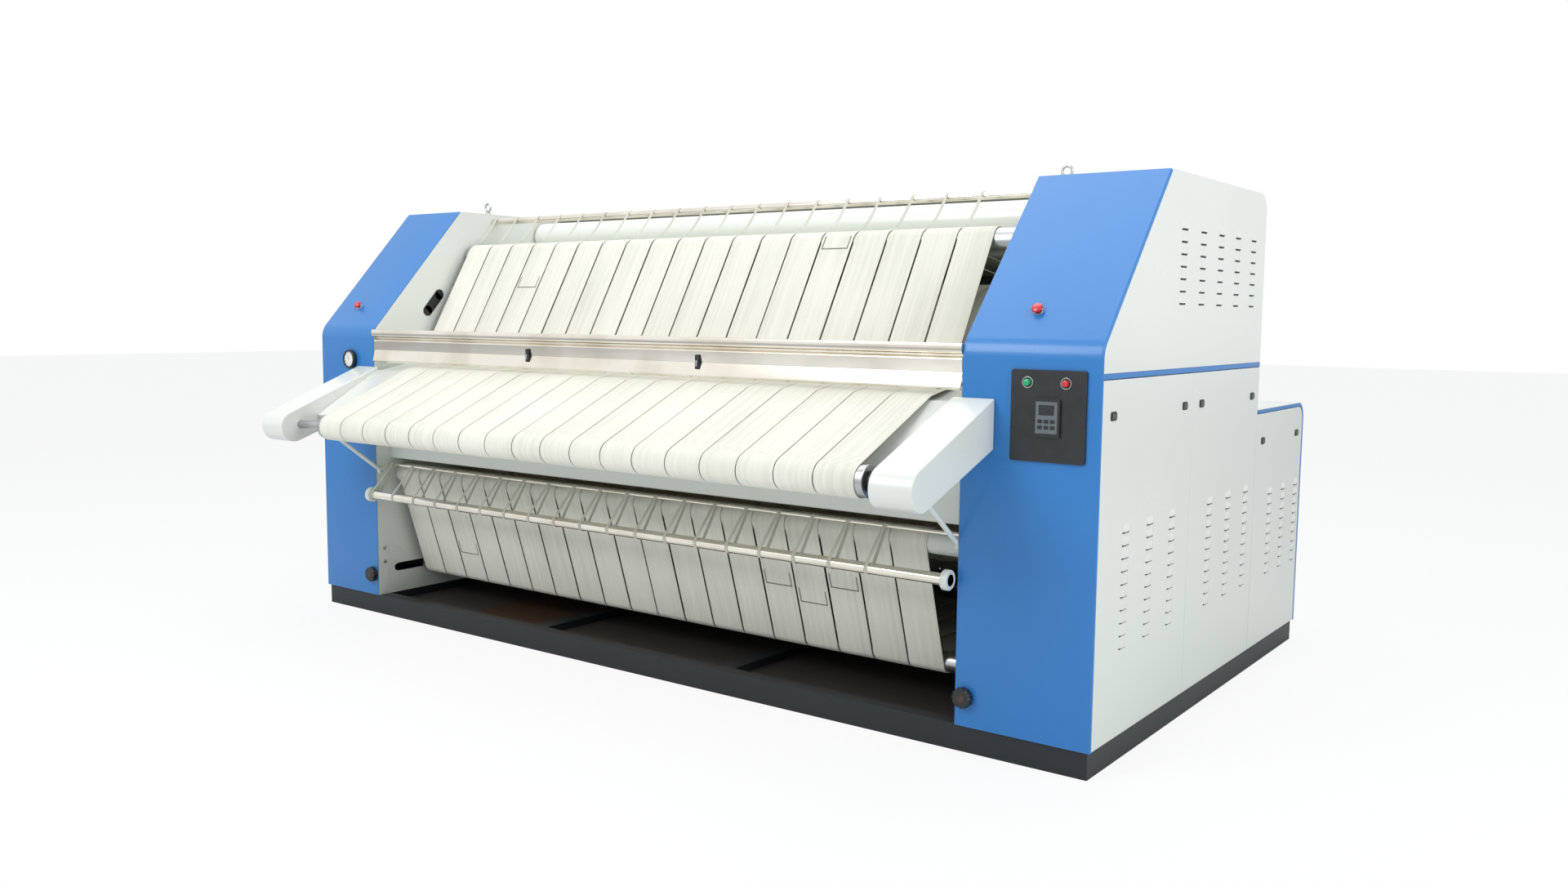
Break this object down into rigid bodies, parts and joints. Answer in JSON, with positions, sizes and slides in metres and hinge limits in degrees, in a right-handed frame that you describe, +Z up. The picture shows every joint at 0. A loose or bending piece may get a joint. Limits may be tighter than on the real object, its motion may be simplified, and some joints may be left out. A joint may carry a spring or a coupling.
{
  "type": "flatwork ironer",
  "caption": "Flatwork ironer: a heated drum wrapped by a row of ironing belts, with a front feed conveyor, finger guard and delivery slit, between two sheet-metal cabinets.",
  "frame": {"origin": "on the floor, below the middle of the machine's box", "axes": "+X along the rollers towards the drive side, +Y from the feeding side to the rear, +Z up"},
  "size_m": [4.212, 2.93, 2.0913],
  "materials": {
    "blue_paint": "satin sky-blue powder coat",
    "white_paint": "gloss white powder coat",
    "black_paint": "satin black paint",
    "pan_paint": "dull dark grey paint on floor pans",
    "belt_cloth": "off-white woven ironing belt cloth",
    "polished_steel": "polished stainless steel",
    "machined_steel": "turned steel",
    "cast_iron": "dark casting",
    "black_plastic": "black moulded plastic",
    "green_plastic": "green push button",
    "red_plastic": "red push button",
    "gauge_white": "white gauge dial"
  },
  "bodies": {
    "machine": {"base_frame": "black_paint", "floor_pan": "pan_paint", "side_plate_left": "white_paint", "side_plate_right": "white_paint", "front_panel_left": "blue_paint", "front_panel_right": "blue_paint", "cabinet_frame_left": "blue_paint", "cabinet_frame_right": "blue_paint", "hood_left": "white_paint", "hood_right": "white_paint", "low_box_left": "white_paint", "low_box_right": "white_paint", "rear_lower_panel": "white_paint", "rear_upper_panel": "white_paint", "top_cover": "white_paint", "drum_bearing_left": "cast_iron", "drum_bearing_right": "cast_iron", "ironing_belts": "belt_cloth", "feed_belts": "belt_cloth", "feed_arm_left": "white_paint", "feed_arm_right": "white_paint", "strut_left": "white_paint", "strut_right": "white_paint", "front_rail": "polished_steel", "delivery_cover": "white_paint", "tape_rod": "polished_steel", "delivery_tube": "polished_steel", "control_panel": "black_plastic", "pressure_gauge": "gauge_white", "eye_bolt_left": "machined_steel", "eye_bolt_right": "machined_steel", "drive_chain": "cast_iron", "gearmotor": "cast_iron", "steam_joint": "cast_iron"},
    "drum": {"drum": "polished_steel", "drum_sprocket": "machined_steel"},
    "finger_guard": {"finger_guard": "polished_steel"},
    "infeed_roller": {"infeed_roller": "machined_steel"},
    "top_front_roller": {"top_front_roller": "machined_steel"},
    "rear_top_roller": {"rear_top_roller": "machined_steel"},
    "rear_bottom_roller": {"rear_bottom_roller": "machined_steel"},
    "tension_roller": {"tension_roller": "machined_steel"},
    "delivery_roller": {"delivery_roller": "white_paint"},
    "guide_roller": {"guide_roller": "white_paint"},
    "feed_front_roller": {"feed_front_roller": "machined_steel"},
    "feed_rear_roller": {"feed_rear_roller": "machined_steel"},
    "motor_sprocket": {"motor_sprocket": "machined_steel"},
    "start_button": {"start_button": "green_plastic"},
    "stop_button": {"stop_button": "red_plastic"},
    "emergency_button_left": {"emergency_button_left": "red_plastic"},
    "emergency_button_right": {"emergency_button_right": "red_plastic"},
    "tension_knob_left": {"tension_knob_left": "black_plastic"},
    "tension_knob_right": {"tension_knob_right": "black_plastic"},
    "door_front_left": {"door_front_left": "white_paint"},
    "door_rear_left": {"door_rear_left": "white_paint"},
    "door_low_left": {"door_low_left": "white_paint"},
    "door_front_right": {"door_front_right": "white_paint"},
    "door_rear_right": {"door_rear_right": "white_paint"},
    "door_low_right": {"door_low_right": "white_paint"}
  },
  "joints": [
    {"name": "drum_spin", "type": "hinge", "parent": "machine", "child": "drum", "pos_m": [-0.035, 0.01, 1.06], "axis": [1, 0, 0], "continuous": true},
    {"name": "infeed_spin", "type": "hinge", "parent": "machine", "child": "infeed_roller", "pos_m": [0, -0.569, 1.364], "axis": [1, 0, 0], "continuous": true},
    {"name": "top_front_spin", "type": "hinge", "parent": "machine", "child": "top_front_roller", "pos_m": [0, -0.315, 1.8], "axis": [1, 0, 0], "continuous": true},
    {"name": "rear_top_spin", "type": "hinge", "parent": "machine", "child": "rear_top_roller", "pos_m": [0, 0.625, 1.64], "axis": [1, 0, 0], "continuous": true},
    {"name": "rear_bottom_spin", "type": "hinge", "parent": "machine", "child": "rear_bottom_roller", "pos_m": [0, 0.625, 0.21], "axis": [1, 0, 0], "continuous": true},
    {"name": "tension_spin", "type": "hinge", "parent": "machine", "child": "tension_roller", "pos_m": [0, -0.637, 0.222], "axis": [1, 0, 0], "continuous": true},
    {"name": "delivery_spin", "type": "hinge", "parent": "machine", "child": "delivery_roller", "pos_m": [0, -0.78, 0.7], "axis": [1, 0, 0], "continuous": true},
    {"name": "guide_spin", "type": "hinge", "parent": "machine", "child": "guide_roller", "pos_m": [0, 0.195, 1.925], "axis": [1, 0, 0], "continuous": true},
    {"name": "feed_front_spin", "type": "hinge", "parent": "machine", "child": "feed_front_roller", "pos_m": [0, -1.365, 0.985], "axis": [1, 0, 0], "continuous": true},
    {"name": "feed_rear_spin", "type": "hinge", "parent": "machine", "child": "feed_rear_roller", "pos_m": [0, -0.639, 1.258], "axis": [1, 0, 0], "continuous": true},
    {"name": "motor_spin", "type": "hinge", "parent": "machine", "child": "motor_sprocket", "pos_m": [1.778, 0.955, 0.52], "axis": [1, 0, 0], "continuous": true},
    {"name": "guard_swing", "type": "hinge", "parent": "machine", "child": "finger_guard", "pos_m": [0, -0.919, 1.3807], "axis": [1, 0, 0], "range_deg": [0, 15]},
    {"name": "start_press", "type": "slide", "parent": "machine", "child": "start_button", "axis": [0, 1, 0], "range_m": [0, 0.003], "stiffness_N_per_m": 600, "springref_m": -0.002},
    {"name": "stop_press", "type": "slide", "parent": "machine", "child": "stop_button", "axis": [0, 1, 0], "range_m": [0, 0.003], "stiffness_N_per_m": 600, "springref_m": -0.002},
    {"name": "emergency_press_left", "type": "slide", "parent": "machine", "child": "emergency_button_left", "axis": [0, 0.7472, -0.6646], "range_m": [0, 0.006]},
    {"name": "emergency_press_right", "type": "slide", "parent": "machine", "child": "emergency_button_right", "axis": [0, 0.7472, -0.6646], "range_m": [0, 0.006]},
    {"name": "tension_knob_left_turn", "type": "hinge", "parent": "machine", "child": "tension_knob_left", "pos_m": [-1.706, -0.935, 0.2], "axis": [0, 1, 0], "continuous": true},
    {"name": "tension_knob_right_turn", "type": "hinge", "parent": "machine", "child": "tension_knob_right", "pos_m": [1.636, -0.935, 0.2], "axis": [0, 1, 0], "continuous": true},
    {"name": "door_front_left_tilt", "type": "hinge", "parent": "machine", "child": "door_front_left", "pos_m": [-2.1, -0.498, 0.0973], "axis": [0, -1, 0], "range_deg": [0, 12]},
    {"name": "door_front_right_tilt", "type": "hinge", "parent": "machine", "child": "door_front_right", "pos_m": [2.1, -0.498, 0.0973], "axis": [0, 1, 0], "range_deg": [0, 12]},
    {"name": "door_rear_left_tilt", "type": "hinge", "parent": "machine", "child": "door_rear_left", "pos_m": [-2.1, 0.333, 0.0973], "axis": [0, -1, 0], "range_deg": [0, 12]},
    {"name": "door_rear_right_tilt", "type": "hinge", "parent": "machine", "child": "door_rear_right", "pos_m": [2.1, 0.333, 0.0973], "axis": [0, 1, 0], "range_deg": [0, 12]},
    {"name": "door_low_left_tilt", "type": "hinge", "parent": "machine", "child": "door_low_left", "pos_m": [-2.1, 1.093, 0.0973], "axis": [0, -1, 0], "range_deg": [0, 12]},
    {"name": "door_low_right_tilt", "type": "hinge", "parent": "machine", "child": "door_low_right", "pos_m": [2.1, 1.093, 0.0973], "axis": [0, 1, 0], "range_deg": [0, 12]}
  ],
  "couplings": [
    {"joint": "infeed_spin", "follows": "drum_spin", "ratio": -11.154},
    {"joint": "top_front_spin", "follows": "drum_spin", "ratio": -10.545},
    {"joint": "rear_top_spin", "follows": "drum_spin", "ratio": -9.6667},
    {"joint": "rear_bottom_spin", "follows": "drum_spin", "ratio": -9.6667},
    {"joint": "tension_spin", "follows": "drum_spin", "ratio": -15.263},
    {"joint": "delivery_spin", "follows": "drum_spin", "ratio": -12.889},
    {"joint": "guide_spin", "follows": "drum_spin", "ratio": -7.3418},
    {"joint": "feed_front_spin", "follows": "drum_spin", "ratio": 10.545},
    {"joint": "feed_rear_spin", "follows": "drum_spin", "ratio": 19.333},
    {"joint": "motor_spin", "follows": "drum_spin", "ratio": 3}
  ]
}
